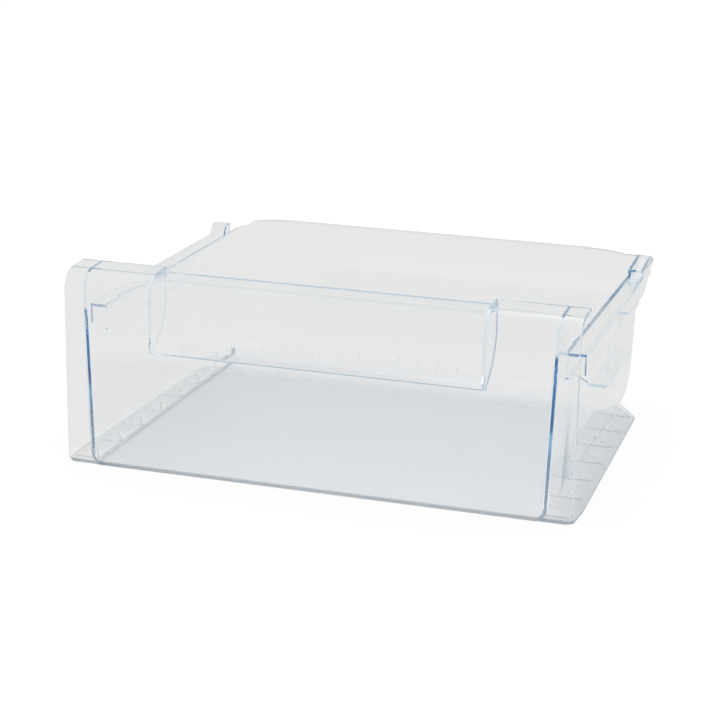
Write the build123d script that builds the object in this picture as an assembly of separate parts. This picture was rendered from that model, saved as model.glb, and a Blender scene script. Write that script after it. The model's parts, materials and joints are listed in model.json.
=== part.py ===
"""Clear moulded fridge drawer: one tub with a wide front panel, a finger recess and side runners.

Lengths are in millimetres. X runs to the right seen from the front, Y runs to the back and Z up.
The drawer is drawn with its front face at Y = 0 and moved at the end, so that the origin lies under
the middle of the tub's floor, half way between the front face and the back.
"""
from build123d import *
from math import cos, degrees, radians, sin, sqrt, tan
import os

# Front panel
panel_width = 440.0
panel_height = 170.0
panel_wall = 2.8
panel_corner = 6.5
panel_edge_round = 0.9
roll_radius = 18.0
ledge_depth = 37.0
ledge_slope = 3.4

# Tub
tub_depth = 358.0
wall = 2.5
panel_overhang = 22.0
side_draft = 1.9
tub_corner = 9.0
rear_radius = 38.0
back_height = 140.0
back_corner_run = 52.0
back_corner_drop = 3.2
back_step_gap = 15.0
back_step_run = 6.0
back_step_drop = 4.8
back_flange_reach = 3.0
wall_root_spread = 1.2

# Handle recess
recess_width = 284.0
recess_wall = 2.5
recess_bottom = 105.0
scoop_radius = 50.0
lip_drop = 4.0
lip_reach = 24.0
recess_edge_round = 1.6
grip_pitch = 16.7
grip_rib_width = 0.9
grip_rib_height = 0.4
grip_rib_length = 8.5
grip_rib_drop = 4.0

# Runner at the top of each side wall
rim_height = 130.0
rim_width = 14.6
rim_front = 42.0
rim_back_gap = 27.0
skirt_drop = 17.5
skirt_wall = 1.2
skirt_back_gap = 86.0
shoulder_drop = 20.5
shoulder_size = 1.6

# Stop at the back of each runner: a short block on the left, a long one with a nose on the right
left_stop_rise = 10.0
left_stop_ramp_run = 7.0
left_stop_top_run = 7.0
left_stop_round = 2.5
right_stop_length = 37.0
right_stop_step = 7.5
right_stop_step_run = 3.5
right_stop_rise = 10.5
right_stop_nose = 14.0
right_stop_nose_drop = 4.5
right_stop_inset = 1.5
right_stop_round = 4.0

# Ledge outside the right-hand runner
wing_width = 7.0
wing_front = 178.0
wing_ramp_front = 250.0
wing_ramp_run = 12.0
wing_rise = 4.0
wing_back_gap = 39.0
wing_web_drop = 14.0

# Guide tab under the right-hand runner
tab_front = 64.0
tab_length = 101.0
tab_gap = 13.0
tab_reach = 13.0
tab_hanger_length = 22.0
tab_strut_rise = 8.5

# Foot flange along each wall, with its gussets
flange_width = 24.0
flange_wall = 2.5
flange_front_inset = 2.0
flange_corner = 7.0
flange_taper_run = 30.0
flange_back_inset = 5.0
flange_back_gap = 42.0
flange_end_run = 33.0
gusset_count = 7
gusset_first = 10.0
gusset_pitch = 45.0
gusset_wall = 1.8
gusset_edge_gap = 4.0
gusset_height = 9.5

# Values that follow from the sizes above
overall_depth = tub_depth + back_flange_reach
slope = radians(ledge_slope)
draft = radians(side_draft)
foot_half = panel_width / 2 - panel_overhang
ledge_flat = ledge_depth - roll_radius + roll_radius * sin(slope)
roll_height = panel_height - roll_radius * cos(slope) - ledge_flat * tan(slope)
recess_half = recess_width / 2
scoop_depth = ledge_depth - recess_wall
bend_height = recess_bottom + scoop_depth
scoop_shift = sqrt((scoop_radius ** 2 - scoop_depth ** 2 / 2) / 2)
scoop_centre = (scoop_depth / 2 - scoop_shift, recess_bottom + scoop_depth / 2 + scoop_shift)
lip_height = panel_height - lip_drop
lip_front = ledge_depth - lip_reach
skirt_bottom = rim_height - skirt_drop
tab_top = skirt_bottom - tab_gap
tab_back = tab_front + tab_length
rim_back = tub_depth - rim_back_gap
skirt_back = tub_depth - skirt_back_gap
left_stop_top = rim_back - left_stop_top_run
left_stop_front = left_stop_top - left_stop_ramp_run
right_stop_front = rim_back - right_stop_length
right_stop_back = rim_back + right_stop_nose
flange_front = panel_wall / 2
flange_back = tub_depth - flange_back_gap
flange_full = flange_front + flange_taper_run
flange_turn = flange_back - flange_end_run
flange_outer = foot_half + flange_width


def wall_at(height, inset=0.0):
    """Half width of the tub at a height, to its outer face or to a face set in from it."""
    return foot_half + height * tan(draft) - inset / cos(draft)


rim_outer = wall_at(rim_height) + rim_width
wing_outer = rim_outer + wing_width
tab_outer = rim_outer + tab_reach


def block(x0, x1, y0, y1, z0, z1):
    """Box between two corners."""
    centre = Pos((x0 + x1) / 2, (y0 + y1) / 2, (z0 + z1) / 2)
    return centre * Box(x1 - x0, y1 - y0, z1 - z0)


def across(face, x0, x1):
    """Section drawn in Y and Z, run along X."""
    return extrude(Plane.YZ.offset(x0) * face, amount=x1 - x0)


def along(face, y0, y1):
    """Section drawn in X and Z, run along Y."""
    plane = Plane(origin=(0, y0, 0), x_dir=(1, 0, 0), z_dir=(0, -1, 0))
    return extrude(plane * face, amount=y0 - y1)


def polygon(*points):
    """Flat face with straight sides."""
    return make_face(Polyline(*points, close=True))


def arc(centre, radius, angle_0, angle_1):
    """Arc about a centre between two angles in degrees."""
    def at(angle):
        return (centre[0] + radius * cos(radians(angle)), centre[1] + radius * sin(radians(angle)))
    return ThreePointArc(at(angle_0), at((angle_0 + angle_1) / 2), at(angle_1))


def both_sides(shape):
    """A right-hand shape together with its mirror image on the left."""
    return [shape, mirror(shape, about=Plane.YZ)]


def panel_line(inset, foot):
    """Line of the panel's skin from its foot, over the roll, to the back edge of the ledge."""
    roll = arc((roll_radius, roll_height), roll_radius - inset, 180, 90 + ledge_slope)
    front = Line((inset, foot), roll @ 0)
    ledge = Line(roll @ 1, (ledge_depth, panel_height - inset / cos(slope)))
    return front + roll + ledge


def make_panel():
    """Front panel with its top rolled back into a ledge, without the recess."""
    foot = Line((0, 0), (panel_wall, 0))
    back = Line((ledge_depth, panel_height), (ledge_depth, panel_height - panel_wall / cos(slope)))
    section = make_face(panel_line(0, 0) + panel_line(panel_wall, 0) + foot + back)
    panel = across(section, -panel_width / 2, panel_width / 2)
    ends = panel.faces().filter_by(Axis.X)
    foot_edges = [e for e in ends.edges() if abs(e.center().Z) < panel_wall / 2]
    panel = fillet(foot_edges, panel_corner)
    rim_edges = []
    for face in panel.faces().filter_by(Axis.X):
        rim_edges += [e for e in face.edges() if is_outer_end_edge(e)]
    return fillet(rim_edges, panel_edge_round)


def is_outer_end_edge(edge):
    """Whether an edge of the panel's end lies on its outer skin."""
    middle = edge @ 0.5
    if middle.Z < roll_height:
        return middle.Y < panel_wall / 4
    from_centre = ((middle.Y - roll_radius) ** 2 + (middle.Z - roll_height) ** 2) ** 0.5
    on_roll = middle.Y < roll_radius and abs(from_centre - roll_radius) < panel_wall / 4
    on_ledge = middle.Y > roll_radius and middle.Z > panel_height - ledge_flat * tan(slope) - panel_wall / 4
    return on_roll or (on_ledge and middle.Y < ledge_depth - panel_wall / 4)


def under_panel():
    """Filled outline under the panel's skin, from the foot to the ledge's back edge."""
    back = Line((ledge_depth, panel_height), (ledge_depth, 0))
    foot = Line((ledge_depth, 0), (0, 0))
    return make_face(panel_line(0, 0) + back + foot)


def tub_block(inset, top):
    """Filled tub: sloping sides, a rounded foot at the back and one round along both side edges."""
    back = tub_depth - inset
    radius = rear_radius - inset
    rear = arc((back - radius, inset + radius), radius, -90, 0)
    outline = Line((0, inset), rear @ 0) + rear + Line(rear @ 1, (back, top))
    outline = outline + Line((back, top), (0, top)) + Line((0, top), (0, inset))
    side_view = across(make_face(outline), -panel_width, panel_width)
    half_low = wall_at(inset, inset)
    half_top = wall_at(top, inset)
    front_view = along(
        polygon((-half_low, inset), (half_low, inset), (half_top, top), (-half_top, top)),
        0, overall_depth)
    body = side_view & front_view
    rounds = []
    for edge in body.edges():
        middle = edge @ 0.5
        if abs(middle.X) > half_low - inset and middle.Y > inset + 1 and middle.Z < top - 1:
            rounds.append(edge)
    return fillet(rounds, tub_corner - inset)


def make_tub():
    """Open tub: its front ends reach up under the ledge, its back wall stands above the runners.

    The back wall's top edge falls a little towards the corners and steps down at the left one.
    """
    shell = tub_block(0, panel_height) - tub_block(wall, panel_height + wall)
    front = across(under_panel(), -panel_width / 2, panel_width / 2)
    step = wall_at(back_height) - back_corner_run
    turn = wall_at(rim_height) - back_step_gap
    turn_height = back_height - back_corner_drop
    run = turn - step
    radius = (run ** 2 + back_corner_drop ** 2) / (2 * back_corner_drop)
    crown = RadiusArc((turn, turn_height), (step, back_height), -radius)
    right = Polyline((0, 0), (panel_width, 0), (panel_width, rim_height),
                     (wall_at(rim_height), rim_height),
                     (turn + back_step_run, turn_height - back_step_drop), (turn, turn_height))
    right = right + crown + Line((step, back_height), (0, back_height))
    right = right + Line((0, back_height), (0, 0))
    rear_right = along(make_face(right), ledge_depth, overall_depth)
    rear = rear_right + mirror(rear_right, about=Plane.YZ)
    high_corner = block(turn - wall, panel_width, rim_back, overall_depth, 0, turn_height)
    return (shell & front) + (shell & rear) + (shell & high_corner)


def make_wall_root():
    """Right-hand side wall's spread foot along the back of the panel, up to the runner's height."""
    sections = []
    for height in (tub_corner, rim_height):
        outer = wall_at(height)
        inner = wall_at(height, wall)
        plan = polygon((inner - wall_root_spread, panel_wall / 2),
                       (outer + wall_root_spread, panel_wall / 2),
                       (outer + wall_root_spread, panel_wall), (outer, panel_wall + wall_root_spread),
                       (inner, panel_wall + wall_root_spread), (inner - wall_root_spread, panel_wall))
        sections.append(Plane.XY.offset(height) * plan)
    return loft(sections)


def make_back_flange():
    """Flat flange that stiffens the top of the back wall."""
    half = wall_at(back_height) - back_corner_run
    return block(-half, half, tub_depth - wall, overall_depth, back_height - wall, back_height)


def scoop_line(inset):
    """Curve of the scoop from the panel's face up to its bend, on its inner side or set back from it."""
    return RadiusArc((0, recess_bottom - inset), (scoop_depth + inset, bend_height),
                     -scoop_radius - inset)


def make_recess():
    """Scoop for the fingers with a flat lip over it, closed by a cheek at each end."""
    inner = scoop_line(0)
    outer = scoop_line(recess_wall)
    lip_under = lip_height - recess_wall
    skin = inner + Polyline(inner @ 1, (scoop_depth, lip_under), (lip_front, lip_under),
                            (lip_front, lip_height), (ledge_depth, lip_height), outer @ 1)
    skin = skin + outer + Line(outer @ 0, inner @ 0)
    scoop = across(make_face(skin), -recess_half, recess_half)
    cheek_line = panel_line(0, recess_bottom - recess_wall) + outer
    cheek_line = cheek_line + Line((ledge_depth, panel_height), outer @ 1)
    cheek = across(make_face(cheek_line), recess_half, recess_half + recess_wall)
    return [scoop] + both_sides(cheek)


def is_recess_foot_edge(edge):
    """Whether an edge is the long one where the scoop starts at the panel's face."""
    middle = edge @ 0.5
    on_line = abs(middle.Y) < panel_wall / 4 and abs(middle.Z - recess_bottom) < panel_wall / 4
    return on_line and edge.length > recess_half


def make_recess_opening():
    """Space that the recess takes out of the panel."""
    return block(-recess_half, recess_half, -panel_wall, ledge_depth + panel_wall,
                 recess_bottom, panel_height + panel_wall)


def make_grip_ribs():
    """Row of short fine ribs across the curve of the scoop, a little below its middle."""
    count = int(recess_width / grip_pitch)
    first = -grip_pitch * (count - 1) / 2
    half_angle = degrees(grip_rib_length / 2 / scoop_radius)
    middle = -45 - degrees(grip_rib_drop / scoop_radius)
    low = arc(scoop_centre, scoop_radius + recess_wall / 2, middle - half_angle, middle + half_angle)
    high = arc(scoop_centre, scoop_radius - grip_rib_height, middle - half_angle, middle + half_angle)
    face = make_face(low + high + Line(low @ 0, high @ 0) + Line(low @ 1, high @ 1))
    ribs = []
    for i in range(count):
        x = first + i * grip_pitch
        ribs.append(across(face, x - grip_rib_width / 2, x + grip_rib_width / 2))
    return ribs


def hollow_stop(crown, foot_front, foot_back, outer):
    """Block and its hollow for a right-hand stop: a side view's upper points over a foot on the runner."""
    root = wall_at(rim_height, wall / 2)
    under = rim_height - wall
    solid = across(polygon((foot_front, under), *crown, (foot_back, under)), root, outer)
    deep = polygon((foot_front, under - 2 * wall), *crown, (foot_back, under),
                   (foot_back, under - 2 * wall))
    hollow = across(offset(deep, amount=-wall, kind=Kind.INTERSECTION), root + wall, outer - wall)
    return solid, hollow


def make_left_stop():
    """Left-hand stop: a short block with a ramp in front and rounded top edges."""
    high = rim_height + left_stop_rise
    crown = [(left_stop_front, rim_height), (left_stop_top, high), (rim_back, high)]
    stop, hollow = hollow_stop(crown, left_stop_front, rim_back, rim_outer)
    top_edges = [e for e in stop.edges() if (e @ 0.5).Z > high - left_stop_rise / 4]
    return mirror(fillet(top_edges, left_stop_round) - hollow, about=Plane.YZ)


def make_right_stop():
    """Right-hand stop: a long block with a steep step in front and a nose over the runner's end."""
    high = rim_height + right_stop_rise
    outer = rim_outer - right_stop_inset
    crown = [(right_stop_front, rim_height),
             (right_stop_front + right_stop_step_run, rim_height + right_stop_step),
             (rim_back, high), (right_stop_back, high), (right_stop_back, high - right_stop_nose_drop)]
    stop, hollow = hollow_stop(crown, right_stop_front, rim_back, outer)
    outer_edges = [e for e in stop.edges() if (e @ 0.5).X > outer - wall / 4
                   and (e @ 0).Z > rim_height + right_stop_step / 2
                   and (e @ 1).Z > rim_height + right_stop_step / 2
                   and abs((e @ 0).Y - (e @ 1).Y) > wall / 4]
    return fillet(outer_edges, right_stop_round) - hollow


def make_runner(stop_front):
    """Right-hand runner up to its stop: a flat rim, a thin skirt with a closed front and a shoulder."""
    under = rim_height - wall
    rim = block(wall_at(rim_height, wall / 2), rim_outer, rim_front, stop_front, under, rim_height)
    edge = block(rim_outer - wall, rim_outer, rim_front, rim_back, under, rim_height)
    skirt = block(rim_outer - skirt_wall, rim_outer, rim_front, skirt_back, skirt_bottom, rim_height)
    front_web = block(wall_at(skirt_bottom, wall / 2), rim_outer, rim_front, rim_front + skirt_wall,
                      skirt_bottom, rim_height)
    shoulder_top = rim_height - shoulder_drop
    shoulder = block(wall_at(shoulder_top, wall / 2), wall_at(shoulder_top) + shoulder_size,
                     rim_front, rim_back, shoulder_top - shoulder_size, shoulder_top)
    return [rim, edge, skirt, front_web, shoulder]


def make_wing():
    """Ledge outside the right-hand runner: raised and tapered towards the back, braced at its front end."""
    under = rim_height - wall
    inner = rim_outer - wall
    ramp_back = wing_ramp_front + wing_ramp_run
    wing_back = tub_depth - wing_back_gap
    raised = rim_height + wing_rise
    plate = across(polygon((wing_front, under), (wing_front, rim_height), (wing_ramp_front, rim_height),
                           (ramp_back, raised), (wing_back, raised), (wing_back, raised - wall),
                           (ramp_back, raised - wall), (wing_ramp_front, under)),
                   inner, wing_outer)
    taper = polygon((wing_outer, ramp_back), (rim_outer, wing_back), (rim_outer, tub_depth),
                    (wing_outer + wing_width, tub_depth), (wing_outer + wing_width, ramp_back))
    plate = plate - Pos(0, 0, under - wall) * extrude(taper, amount=wing_rise + 3 * wall)
    riser = across(polygon((wing_ramp_front, under), (wing_back, under), (wing_back, raised),
                           (ramp_back, raised), (wing_ramp_front, rim_height)),
                   inner, rim_outer)
    web = along(polygon((inner, rim_height), (wing_outer, rim_height),
                        (rim_outer, rim_height - wing_web_drop), (inner, rim_height - wing_web_drop)),
                wing_front, wing_front + wall)
    return [plate, riser, web]


def make_tab():
    """Guide tab on the right: a plate below the skirt, hung at its back end and braced at its front."""
    under = tab_top - wall
    inner = rim_outer - wall
    plate = block(inner, tab_outer, tab_front, tab_back, under, tab_top)
    hanger = block(inner, rim_outer, tab_back - tab_hanger_length, tab_back, under, skirt_bottom + wall)
    root = wall_at(tab_top, wall / 2)
    strut = along(polygon((root, tab_top + tab_strut_rise), (root, under + tab_strut_rise / 2),
                          (inner, under), (rim_outer, under), (rim_outer, tab_top),
                          (inner, tab_top)),
                  tab_front, tab_front + wall)
    return [plate, hanger, strut]


def flange_edge(y):
    """Half width over the foot flanges at a distance behind the front face."""
    if y < flange_full:
        return flange_outer - flange_front_inset * (flange_full - y) / flange_taper_run
    return flange_outer - flange_back_inset * (y - flange_full) / (flange_turn - flange_full)


def make_foot_flange():
    """Right-hand foot flange with a tapered start and end, and a row of gussets on it."""
    root = foot_half - tub_corner
    outline = polygon((root, flange_front), (flange_edge(flange_front), flange_front),
                      (flange_outer, flange_full), (flange_edge(flange_turn), flange_turn),
                      (foot_half, flange_back), (root, flange_back))
    plate = extrude(outline, amount=flange_wall)
    front_corner = [e for e in plate.edges().filter_by(Axis.Z)
                    if (e @ 0).X > foot_half and (e @ 0).Y < flange_full / 2]
    pieces = [fillet(front_corner, flange_corner)]
    top = flange_wall + gusset_height
    round_centre = wall_at(tub_corner) - tub_corner
    into_round = (tub_corner - wall / 2) * sin(radians(45))
    for i in range(gusset_count):
        y = gusset_first + i * gusset_pitch
        end = flange_edge(y) - gusset_edge_gap
        gusset = polygon((root, flange_wall / 2), (end, flange_wall / 2), (end, flange_wall),
                         (wall_at(top), top), (wall_at(top, wall / 2), top),
                         (round_centre + into_round, tub_corner - into_round))
        pieces.append(along(gusset, y - gusset_wall / 2, y + gusset_wall / 2))
    return pieces


def make_drawer():
    """The whole moulding as one solid."""
    drawer = make_panel() + make_tub() + make_back_flange()
    drawer = drawer - make_recess_opening()
    pieces = make_recess() + make_grip_ribs()
    pieces += make_wing() + make_tab() + make_runner(right_stop_front)
    pieces += [mirror(piece, about=Plane.YZ) for piece in make_runner(left_stop_front)]
    pieces += [make_right_stop(), make_left_stop()]
    for right_hand in make_foot_flange() + [make_wall_root()]:
        pieces += both_sides(right_hand)
    drawer = drawer.fuse(*pieces).clean()
    foot_edges = [e for e in drawer.edges() if is_recess_foot_edge(e)]
    drawer = fillet(foot_edges, recess_edge_round)
    return Pos(0, -overall_depth / 2, 0) * drawer


os.makedirs("parts", exist_ok=True)
drawer = make_drawer()
export_step(drawer, "parts/drawer.step")
box = drawer.bounding_box()
print("solids", len(drawer.solids()), "volume cm3", round(drawer.volume / 1000, 1))
print("size", round(box.size.X, 2), round(box.size.Y, 2), round(box.size.Z, 2))
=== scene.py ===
# %% [markdown]
# A clear fridge drawer
# The real drawer is one injection moulding of clear polystyrene with a faint blue cast. Nearly all that
# one sees of it is what lies behind it, bent a little at each curve, and the long way that light takes
# inside a wall that is seen edge on. So this lesson spends its care on three things: a closed mesh with
# clean normals, a glass-like material that soaks up light along its path, and an even, pale studio.

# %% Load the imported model
import json
import math

import bmesh
import bpy
from mathutils import Matrix, Vector

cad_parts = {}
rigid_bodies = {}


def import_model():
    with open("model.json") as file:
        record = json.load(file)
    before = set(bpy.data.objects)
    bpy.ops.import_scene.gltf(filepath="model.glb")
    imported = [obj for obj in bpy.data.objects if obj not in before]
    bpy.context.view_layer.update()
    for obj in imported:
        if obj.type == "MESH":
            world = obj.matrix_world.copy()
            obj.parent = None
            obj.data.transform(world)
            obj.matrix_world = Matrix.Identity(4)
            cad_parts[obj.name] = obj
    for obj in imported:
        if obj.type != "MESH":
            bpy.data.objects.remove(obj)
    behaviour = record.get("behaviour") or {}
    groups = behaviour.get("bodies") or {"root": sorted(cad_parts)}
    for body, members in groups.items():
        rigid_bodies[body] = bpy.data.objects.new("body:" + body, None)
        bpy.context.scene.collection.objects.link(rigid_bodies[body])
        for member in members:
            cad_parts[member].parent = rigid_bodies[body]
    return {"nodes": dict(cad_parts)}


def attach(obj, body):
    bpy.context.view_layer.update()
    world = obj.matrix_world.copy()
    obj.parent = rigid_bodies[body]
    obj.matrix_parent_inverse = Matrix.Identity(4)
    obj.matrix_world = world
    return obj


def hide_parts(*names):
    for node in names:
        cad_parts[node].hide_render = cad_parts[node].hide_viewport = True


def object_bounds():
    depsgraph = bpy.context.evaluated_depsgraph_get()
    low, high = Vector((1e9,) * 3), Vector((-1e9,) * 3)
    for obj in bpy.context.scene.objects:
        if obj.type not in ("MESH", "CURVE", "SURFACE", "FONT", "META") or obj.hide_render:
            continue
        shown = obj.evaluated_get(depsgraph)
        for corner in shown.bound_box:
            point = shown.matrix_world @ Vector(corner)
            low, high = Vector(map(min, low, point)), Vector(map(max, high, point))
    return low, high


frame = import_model()
cad_low, cad_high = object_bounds()
scene = bpy.context.scene
print("CAD box", [round(v, 4) for v in cad_low], [round(v, 4) for v in cad_high])

# %% [markdown]
# The moulded body
# On the real drawer the tub, the front panel, the runners and the flanges are one skin of plastic. One
# could model an open sheet and give it a thickness with Solidify, but clear plastic shows its inside, so
# the skin has to be the true one, with every hollow and rib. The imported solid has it, as loose triangles.
# A merged copy of it is used: refraction shows every facet, so flat areas become single faces. Under the
# runners some of these faces run round the open foot of a hollow stop. They are split into convex faces,
# because a narrow concave face can be filled across its opening once its edges are rounded.

# %% Merge a copy of the solid
SAME_CORNER = 2e-6
FLAT_ANGLE = math.radians(0.1)
EDGE_ANGLE = math.radians(28)
LEVEL = 0.99


def merged_copy(source, name):
    """A closed mesh with shared corners and single flat faces, made from a node's triangles."""
    work = bmesh.new()
    work.from_mesh(source.data)
    bmesh.ops.remove_doubles(work, verts=work.verts, dist=SAME_CORNER)
    bmesh.ops.dissolve_limit(work, angle_limit=FLAT_ANGLE, verts=work.verts, edges=work.edges)
    high_undersides = [face for face in work.faces
                       if face.normal.z < -LEVEL and face.calc_center_median().z > cad_high.z / 2]
    bmesh.ops.connect_verts_concave(work, faces=high_undersides)
    mesh = bpy.data.meshes.new(name)
    work.to_mesh(mesh)
    work.free()
    mesh.polygons.foreach_set("use_smooth", [True] * len(mesh.polygons))
    mesh.set_sharp_from_angle(angle=EDGE_ANGLE)
    piece = bpy.data.objects.new(name, mesh)
    scene.collection.objects.link(piece)
    return piece


def count(piece):
    """A mesh's size in words."""
    return f"{len(piece.data.vertices)} corners, {len(piece.data.polygons)} faces"


moulded_body = merged_copy(frame["nodes"]["drawer"], "moulded_body")
print("merged body:", count(moulded_body))

# %% [markdown]
# Edges and normals
# A mould leaves a small round on each edge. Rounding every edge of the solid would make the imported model
# far heavier, so a Bevel does it here. It keeps one width for all edges and holds that back, so that no
# two rounds run into each other: on this drawer, with its thin ribs, it ends up far below the width that
# is asked for. Its real use is to keep normals apart. With Weighted Normal the large faces win, so that a
# flat wall stays flat right up to the curve that runs out of it, and the view through it isn't bent.

# %% Round its edges and settle the normals
EDGE_ROUND = 0.00035
LARGE_FACES_FIRST = 90


def settle(piece):
    """Applies a small edge round and weighted normals, and leaves a plain mesh."""
    edge_round = piece.modifiers.new("edge_round", "BEVEL")
    edge_round.width = EDGE_ROUND
    edge_round.segments = 2
    edge_round.limit_method = "ANGLE"
    edge_round.angle_limit = EDGE_ANGLE
    edge_round.miter_outer = "MITER_ARC"
    flat_walls = piece.modifiers.new("flat_walls", "WEIGHTED_NORMAL")
    flat_walls.mode = "FACE_AREA"
    flat_walls.weight = LARGE_FACES_FIRST
    flat_walls.keep_sharp = False
    settled = bpy.data.meshes.new_from_object(piece.evaluated_get(bpy.context.evaluated_depsgraph_get()))
    settled.name = piece.name
    piece.modifiers.clear()
    piece.data = settled


settle(moulded_body)
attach(moulded_body, "root")
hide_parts("drawer")
print("rounded body:", count(moulded_body))

# %% [markdown]
# Small helpers for node trees
# The plastic and the studio are all built from shader nodes, so that nothing is loaded from a picture.
# The same few moves come back in each tree: add a node and set it, work out a value, mix two colours.
# Each of them gets a helper, so that the trees below read like a list of what goes into what.

# %% Helpers for nodes
def node(tree, kind, place, **inputs):
    """Adds a node and sets the sockets that are named."""
    made = tree.nodes.new(kind)
    made.location = place
    for name, value in inputs.items():
        made.inputs[name.replace("_", " ")].default_value = value
    return made


def calculate(tree, operation, place, first, second):
    """Adds a Math node on an output and a second output or number, and gives its output."""
    made = node(tree, "ShaderNodeMath", place)
    made.operation = operation
    tree.links.new(first, made.inputs[0])
    if isinstance(second, bpy.types.NodeSocket):
        tree.links.new(second, made.inputs[1])
    else:
        made.inputs[1].default_value = second
    return made.outputs["Value"]


def colour_mix(tree, place, plain, full):
    """Adds a Mix node that goes from one colour to another."""
    made = node(tree, "ShaderNodeMix", place)
    made.data_type = "RGBA"
    made.inputs["A"].default_value = plain
    made.inputs["B"].default_value = full
    return made


def grey(level):
    """An even colour."""
    return (level, level, level, 1.0)


print("node helpers ready")

# %% [markdown]
# Soft zones
# The drawer's floor and the studio floor under it change slowly from place to place. A painted picture
# could say where, but it would tie the finish to one size of drawer and one set of UVs. A node group does
# it with plain limits: each limit has an axis, the place where a fade starts and the place where it is
# full, and the fades are multiplied. The plastic and the studio floor share the group's recipe.

# %% Zones of the floor
PLATE_FRONT = cad_low.y + 0.0025
PLATE_BACK, EVEN_BACK = 0.150, 0.085
TINT_SIDE, TINT_EVEN = 0.205, 0.165
LIGHT_LEFT = (-0.236, -0.200)
LIGHT_RIGHT = (0.230, 0.195)
LIGHT_FRONT = (cad_low.y - 0.120, cad_low.y - 0.030)


def floor_zone(name, limits):
    """Node group: 1 inside the limits, each given as an axis and where the fade starts and is full."""
    group = bpy.data.node_groups.new(name, "ShaderNodeTree")
    group.interface.new_socket("Vector", in_out="INPUT", socket_type="NodeSocketVector")
    group.interface.new_socket("Zone", in_out="OUTPUT", socket_type="NodeSocketFloat")
    came = node(group, "NodeGroupInput", (-800, 0))
    gone = node(group, "NodeGroupOutput", (800, 0))
    parts = node(group, "ShaderNodeSeparateXYZ", (-600, 0))
    group.links.new(came.outputs["Vector"], parts.inputs["Vector"])
    zone = 1.0
    for i, (axis, none, full) in enumerate(limits):
        fade = node(group, "ShaderNodeMapRange", (-350, 300 - 250 * i), From_Min=none, From_Max=full)
        fade.interpolation_type = "SMOOTHSTEP"
        group.links.new(parts.outputs[axis], fade.inputs["Value"])
        zone = calculate(group, "MULTIPLY", (-50 + 150 * i, 200 - 150 * i), fade.outputs["Result"], zone)
    group.links.new(zone, gone.inputs["Zone"])
    return group


def zone_mask(tree, zone, place, spot):
    """Places a zone in a tree and gives its mask."""
    made = node(tree, "ShaderNodeGroup", spot)
    made.node_tree = zone
    tree.links.new(place, made.inputs["Vector"])
    return made.outputs["Zone"]


TINT_ZONE = floor_zone("tint_zone", (("X", -TINT_SIDE, -TINT_EVEN), ("X", TINT_SIDE, TINT_EVEN),
                                     ("Y", PLATE_BACK + 0.005, EVEN_BACK),
                                     ("Y", PLATE_FRONT, PLATE_FRONT + 0.0005)))
LIGHT_ZONE = floor_zone("light_zone", (("X", *LIGHT_LEFT), ("X", *LIGHT_RIGHT),
                                       ("Y", PLATE_BACK, EVEN_BACK), ("Y", *LIGHT_FRONT)))
FROST_ZONE = floor_zone("frost_zone", (("Y", PLATE_BACK, EVEN_BACK),))
print("zones:", [zone.name for zone in (TINT_ZONE, LIGHT_ZONE, FROST_ZONE)])

# %% [markdown]
# Clear polystyrene
# Polystyrene bends light more than window glass, with an index of 1.59. Its faint blue is not a surface
# colour: it shows only where light has gone a long way through the plastic, as in the dark blue lines
# where a side wall meets the front panel. A tinted glass would be blue all over, so the colour comes from
# a Volume Absorption shader, which counts the way inside. A faint bump makes the slow waves that a thin
# moulding has, and the gloss varies a little, as on a drawer that was wiped.

# %% Gloss and waves of the plastic
GLOSS_BEST, GLOSS_WORST = 0.03, 0.07


def wiped_gloss(tree, place):
    """Roughness that varies a little over the surface."""
    wiped = node(tree, "ShaderNodeTexNoise", (-600, 50), Scale=45.0, Detail=5.0)
    gloss = node(tree, "ShaderNodeMapRange", (-300, 50), From_Min=0.35, From_Max=0.75,
                 To_Min=GLOSS_BEST, To_Max=GLOSS_WORST)
    tree.links.new(place, wiped.inputs["Vector"])
    tree.links.new(wiped.outputs["Fac"], gloss.inputs["Value"])
    return gloss.outputs["Result"]


def slow_waves(tree, place):
    """Normal with long, faint waves."""
    waves = node(tree, "ShaderNodeTexNoise", (-600, -250), Scale=14.0, Detail=1.0)
    swell = node(tree, "ShaderNodeBump", (-50, -250), Strength=0.12, Distance=0.0006)
    tree.links.new(place, waves.inputs["Vector"])
    tree.links.new(waves.outputs["Fac"], swell.inputs["Height"])
    return swell.outputs["Normal"]


print("gloss from", GLOSS_BEST, "to", GLOSS_WORST)

# %% [markdown]
# The matt floor plate
# The bottom plate of the tub and the flanges beside it look even and pale, with a touch more blue than
# the walls, where a polished plate would mirror and bend what is around it. Fine grain in the mesh would
# cost millions of faces, so the plate is picked out by its height, made rougher, and tinted. Both changes
# fade out towards the back, where the plate runs up into the back wall.

# %% Masks of the floor plate
PLATE_HEIGHT = 0.0035
FLANGE_START = 0.2


def plate_masks(tree, place):
    """Masks of the matt part and of the tinted part of the floor plate."""
    parts = node(tree, "ShaderNodeSeparateXYZ", (-600, 300))
    tree.links.new(place, parts.inputs["Vector"])
    low = calculate(tree, "LESS_THAN", (-300, 300), parts.outputs["Z"], cad_low.z + PLATE_HEIGHT)
    flange = calculate(tree, "GREATER_THAN", (-300, 650), parts.outputs["X"], FLANGE_START)
    matt = zone_mask(tree, FROST_ZONE, place, (-600, 700))
    blue = calculate(tree, "MAXIMUM", (-100, 550), zone_mask(tree, TINT_ZONE, place, (-600, 500)), flange)
    return (calculate(tree, "MULTIPLY", (-100, 250), matt, low),
            calculate(tree, "MULTIPLY", (-100, 400), blue, low))


print("floor plate up to", PLATE_HEIGHT)

# %% Put the plastic together
POLYSTYRENE_INDEX = 1.59
CLEAR = grey(1.0)
PLATE_TINT = (0.93, 0.968, 1.0, 1.0)
PLATE_ROUGHNESS = 0.3
SOAK_COLOUR = (0.0, 0.54, 0.82, 1.0)
SOAK_DENSITY = 3.2


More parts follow.
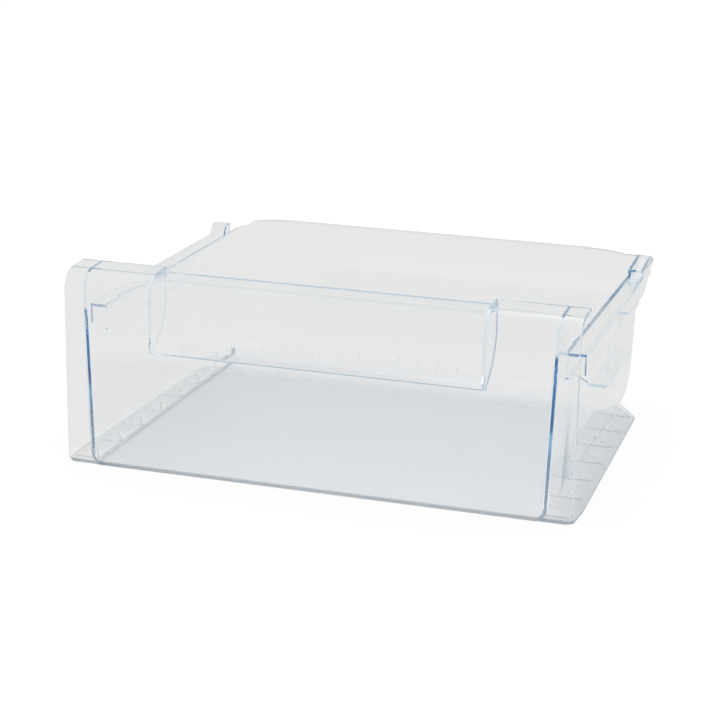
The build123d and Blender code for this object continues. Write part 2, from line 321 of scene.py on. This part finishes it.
def clear_polystyrene():
    """Glass-like plastic with a blue absorption, slow waves and a matt floor plate."""
    plastic = bpy.data.materials.new("clear_polystyrene")
    plastic.use_nodes = True
    tree = plastic.node_tree
    tree.nodes.clear()
    out = node(tree, "ShaderNodeOutputMaterial", (700, 0))
    skin = node(tree, "ShaderNodeBsdfPrincipled", (400, 0), Base_Color=CLEAR, Transmission_Weight=1.0,
                IOR=POLYSTYRENE_INDEX)
    soak = node(tree, "ShaderNodeVolumeAbsorption", (400, -350), Color=SOAK_COLOUR, Density=SOAK_DENSITY)
    frost = node(tree, "ShaderNodeMix", (100, 150), B=PLATE_ROUGHNESS)
    tint = colour_mix(tree, (100, 400), CLEAR, PLATE_TINT)
    place = node(tree, "ShaderNodeTexCoord", (-900, 0)).outputs["Object"]
    matt, blue = plate_masks(tree, place)
    link = tree.links.new
    link(matt, frost.inputs["Factor"])
    link(wiped_gloss(tree, place), frost.inputs["A"])
    link(frost.outputs["Result"], skin.inputs["Roughness"])
    link(blue, tint.inputs["Factor"])
    link(tint.outputs["Result"], skin.inputs["Base Color"])
    link(slow_waves(tree, place), skin.inputs["Normal"])
    link(skin.outputs["BSDF"], out.inputs["Surface"])
    link(soak.outputs["Volume"], out.inputs["Volume"])
    return plastic


moulded_body.data.materials.clear()
moulded_body.data.materials.append(clear_polystyrene())
print("plastic on", moulded_body.name)

# %% [markdown]
# Studio
# Catalogue shots of clear plastic are taken in a light tent: all that the plastic can mirror or show is
# an even, pale grey, and the picture's background is white. Against plain white the walls would not show
# at all. So Light Path tells the camera's own view from light that has met the plastic: the floor and the
# world are white to the camera and a little greyer to the rest. Under the tub the floor is white to that
# light too, as on a light table, because the matt plate takes some of it. The floor's paint keeps a
# share of the lamps' light, so that the drawer has a shadow.

# %% Floor
FLOOR_SIZE = 30
FLOOR_GAP = 0.0004
FLOOR_GLOW_SEEN = 0.88
FLOOR_GLOW_THROUGH = 0.78
FLOOR_GLOW_UNDER_TUB = 1.0
FLOOR_PAINT_SEEN = 0.16
FLOOR_PAINT_THROUGH = 0.03


def studio_white():
    """Paint that glows faintly: white in the picture, pale grey through the plastic, with a soft shadow."""
    paint = bpy.data.materials.new("studio_white")
    paint.use_nodes = True
    tree = paint.node_tree
    tree.nodes.clear()
    out = node(tree, "ShaderNodeOutputMaterial", (600, 0))
    both = node(tree, "ShaderNodeAddShader", (300, 0))
    glow = node(tree, "ShaderNodeEmission", (0, 150), Strength=1.0)
    matt = node(tree, "ShaderNodeBsdfDiffuse", (0, -50))
    seen = node(tree, "ShaderNodeLightPath", (-600, 200)).outputs["Is Camera Ray"]
    place = node(tree, "ShaderNodeTexCoord", (-1400, 0)).outputs["Object"]
    lit = colour_mix(tree, (-600, -50), grey(FLOOR_GLOW_THROUGH), grey(FLOOR_GLOW_UNDER_TUB))
    shade = colour_mix(tree, (-300, 100), grey(FLOOR_GLOW_THROUGH), grey(FLOOR_GLOW_SEEN))
    share = colour_mix(tree, (-300, -150), grey(FLOOR_PAINT_THROUGH), grey(FLOOR_PAINT_SEEN))
    link = tree.links.new
    link(zone_mask(tree, LIGHT_ZONE, place, (-1000, 0)), lit.inputs["Factor"])
    link(lit.outputs["Result"], shade.inputs["A"])
    link(seen, shade.inputs["Factor"])
    link(seen, share.inputs["Factor"])
    link(shade.outputs["Result"], glow.inputs["Color"])
    link(share.outputs["Result"], matt.inputs["Color"])
    link(glow.outputs["Emission"], both.inputs[0])
    link(matt.outputs["BSDF"], both.inputs[1])
    link(both.outputs["Shader"], out.inputs["Surface"])
    paint.cycles.emission_sampling = "NONE"
    return paint


def pale_floor():
    """Wide floor just under the drawer."""
    bpy.ops.mesh.primitive_plane_add(size=FLOOR_SIZE, location=(0, 0, cad_low.z - FLOOR_GAP))
    floor = bpy.context.object
    floor.name = "studio_floor"
    floor.data.materials.append(studio_white())
    return floor


print("floor at", round(pale_floor().location.z, 5))

# %% World
WORLD_SEEN = 1.0
WORLD_LEVEL = 0.77
WORLD_TOP = 0.84


def light_tent():
    """White to the camera, and an even pale grey with a brighter top to everything else."""
    world = bpy.data.worlds.new("light_tent")
    world.use_nodes = True
    tree = world.node_tree
    tree.nodes.clear()
    out = node(tree, "ShaderNodeOutputWorld", (700, 0))
    glow = node(tree, "ShaderNodeBackground", (450, 0), Strength=1.0)
    seen = node(tree, "ShaderNodeLightPath", (-200, 300))
    shade = colour_mix(tree, (200, 0), grey(WORLD_LEVEL), grey(WORLD_SEEN))
    way = node(tree, "ShaderNodeTexCoord", (-900, -100))
    parts = node(tree, "ShaderNodeSeparateXYZ", (-700, -100))
    ramp = node(tree, "ShaderNodeValToRGB", (-400, -100))
    ramp.color_ramp.elements[0].color = grey(WORLD_LEVEL)
    ramp.color_ramp.elements[1].color = grey(WORLD_TOP)
    link = tree.links.new
    link(way.outputs["Generated"], parts.inputs["Vector"])
    link(parts.outputs["Z"], ramp.inputs["Fac"])
    link(ramp.outputs["Color"], shade.inputs["A"])
    link(seen.outputs["Is Camera Ray"], shade.inputs["Factor"])
    link(shade.outputs["Result"], glow.inputs["Color"])
    link(glow.outputs["Background"], out.inputs["Surface"])
    return world


scene.world = light_tent()
print("world:", scene.world.name)

# %% [markdown]
# Lamps
# The tent gives nearly all the light. Two large, weak softboxes add a direction, so that the drawer has a
# soft shadow and its curves a faint sheen. Small or strong lamps would put hard sparks on every edge.

# %% Softboxes
LAMP_POWER = 2


def softbox(name, place, aim, size):
    """Large soft lamp that faces a point."""
    lamp = bpy.data.lights.new(name, "AREA")
    lamp.shape = "RECTANGLE"
    lamp.size, lamp.size_y = size
    lamp.energy = LAMP_POWER
    holder = bpy.data.objects.new(name, lamp)
    holder.location = place
    holder.rotation_euler = (Vector(aim) - Vector(place)).to_track_quat("-Z", "Y").to_euler()
    scene.collection.objects.link(holder)
    return holder


softbox("softbox_top", place=(0.3, 0.5, 1.6), aim=(0, 0, 0.05), size=(1.4, 0.9))
softbox("softbox_left", place=(-1.5, -0.5, 1.1), aim=(0, 0, 0.1), size=(0.8, 1.2))
print("two softboxes of", LAMP_POWER, "W")

# %% [markdown]
# Long light paths
# Light that runs edgewise inside a wall bounces many times before it comes out. With the usual dozen
# bounces those edges would turn black, so the limits are raised.

# %% Bounces
LONG_PATH = 320
scene.cycles.max_bounces = LONG_PATH
scene.cycles.transmission_bounces = LONG_PATH
scene.cycles.glossy_bounces = LONG_PATH
scene.cycles.diffuse_bounces = 16
scene.view_settings.view_transform = "Standard"
print("bounces", scene.cycles.max_bounces)

# %% [markdown]
# Camera
# The camera was found by matching the drawer's straight edges to the photograph: about 1.6 m away with a
# long lens, 17.7 degrees to the right of the front and 16.9 degrees above it, with a slight roll. It
# could be aimed with a Track To constraint, but that can't roll, so its axes are worked out here.

# %% Place the camera
LENS_MM = 101.92
TURN, TILT, ROLL = (math.radians(v) for v in (17.742, 16.879, 0.9035))
DISTANCE = 1.63803
AIM = Vector((0.04088, cad_low.y, 0.11854))


def photo_camera():
    """Camera at the photograph's place, as right, up and back axes."""
    look = Vector((-math.sin(TURN) * math.cos(TILT), math.cos(TURN) * math.cos(TILT), -math.sin(TILT)))
    level = Vector((math.cos(TURN), math.sin(TURN), 0))
    rise = level.cross(look)
    right = math.cos(ROLL) * level + math.sin(ROLL) * rise
    up = -math.sin(ROLL) * level + math.cos(ROLL) * rise
    data = bpy.data.cameras.new("photo_camera")
    data.lens = LENS_MM
    data.sensor_width = 36
    camera = bpy.data.objects.new("photo_camera", data)
    turn = Matrix((right, up, -look)).transposed().to_4x4()
    camera.matrix_world = Matrix.Translation(AIM - look * DISTANCE) @ turn
    scene.collection.objects.link(camera)
    scene.camera = camera
    return camera


print("camera at", [round(v, 3) for v in photo_camera().location])
